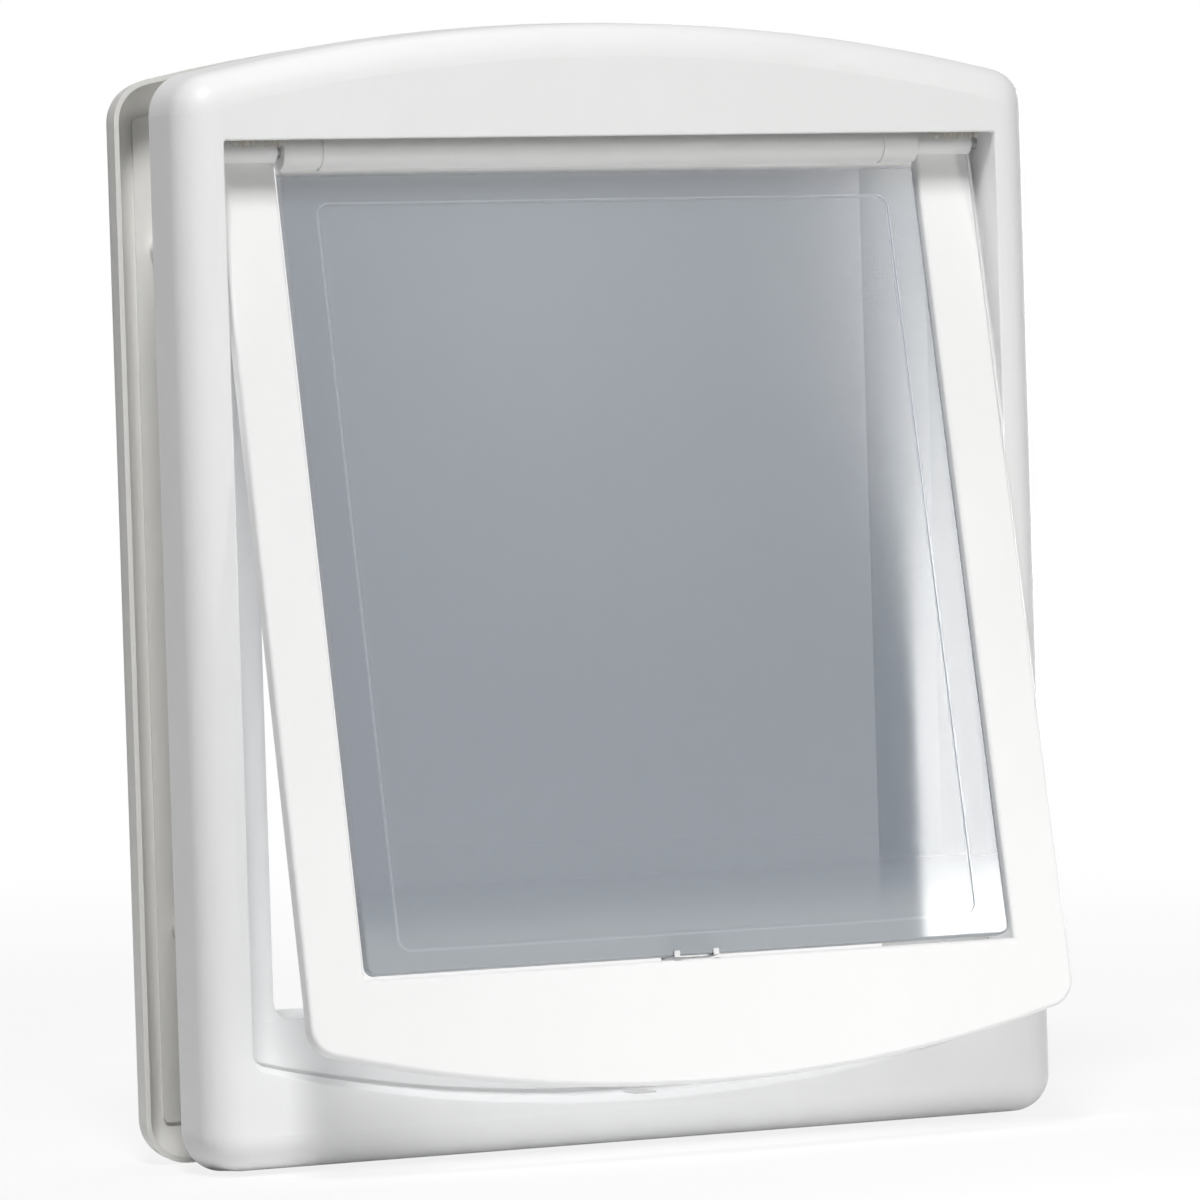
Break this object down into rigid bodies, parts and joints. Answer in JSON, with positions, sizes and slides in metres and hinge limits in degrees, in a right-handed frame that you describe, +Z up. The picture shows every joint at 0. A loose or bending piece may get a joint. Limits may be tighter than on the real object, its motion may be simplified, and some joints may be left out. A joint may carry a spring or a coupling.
{
  "type": "pet door",
  "caption": "Pet door with arched white clamp frames, a swinging surround that opens outwards and a clear tinted flap inside it that swings both ways on the same hinge rod.",
  "frame": {"origin": "middle of the passage, on the plane where the front frame's rim meets the door", "axes": "+X to the right seen from the front, +Y through the door to the rear frame, +Z up"},
  "size_m": [0.294, 0.1173, 0.352],
  "materials": {
    "white_shell": "satin white moulding",
    "clear_flap": "clear grey tint",
    "steel": "bright zinc",
    "brass": "turned",
    "ferrite": "dull black",
    "strip": "woven backing",
    "pile": "dense pile"
  },
  "bodies": {
    "frame": {"front_frame": "white_shell", "rear_frame": "white_shell", "hinge_rod": "steel", "strip_backing": "strip", "strip_pile": "pile", "sill_catch": "white_shell", "fixing_screws": "steel", "threaded_inserts": "brass", "screw_caps": "white_shell"},
    "surround": {"flap_surround": "white_shell", "rail_magnet": "ferrite"},
    "flap": {"clear_flap": "clear_flap", "flap_magnet": "ferrite", "magnet_clip": "steel"}
  },
  "joints": [
    {"name": "surround_swing", "type": "hinge", "parent": "frame", "child": "surround", "pos_m": [0, -0.0098, 0.1319], "axis": [-1, 0, 0], "range_deg": [-11.8, 63.2]},
    {"name": "flap_swing", "type": "hinge", "parent": "frame", "child": "flap", "pos_m": [0, -0.0098, 0.1319], "axis": [-1, 0, 0], "range_deg": [-81.8, 63.2]}
  ]
}
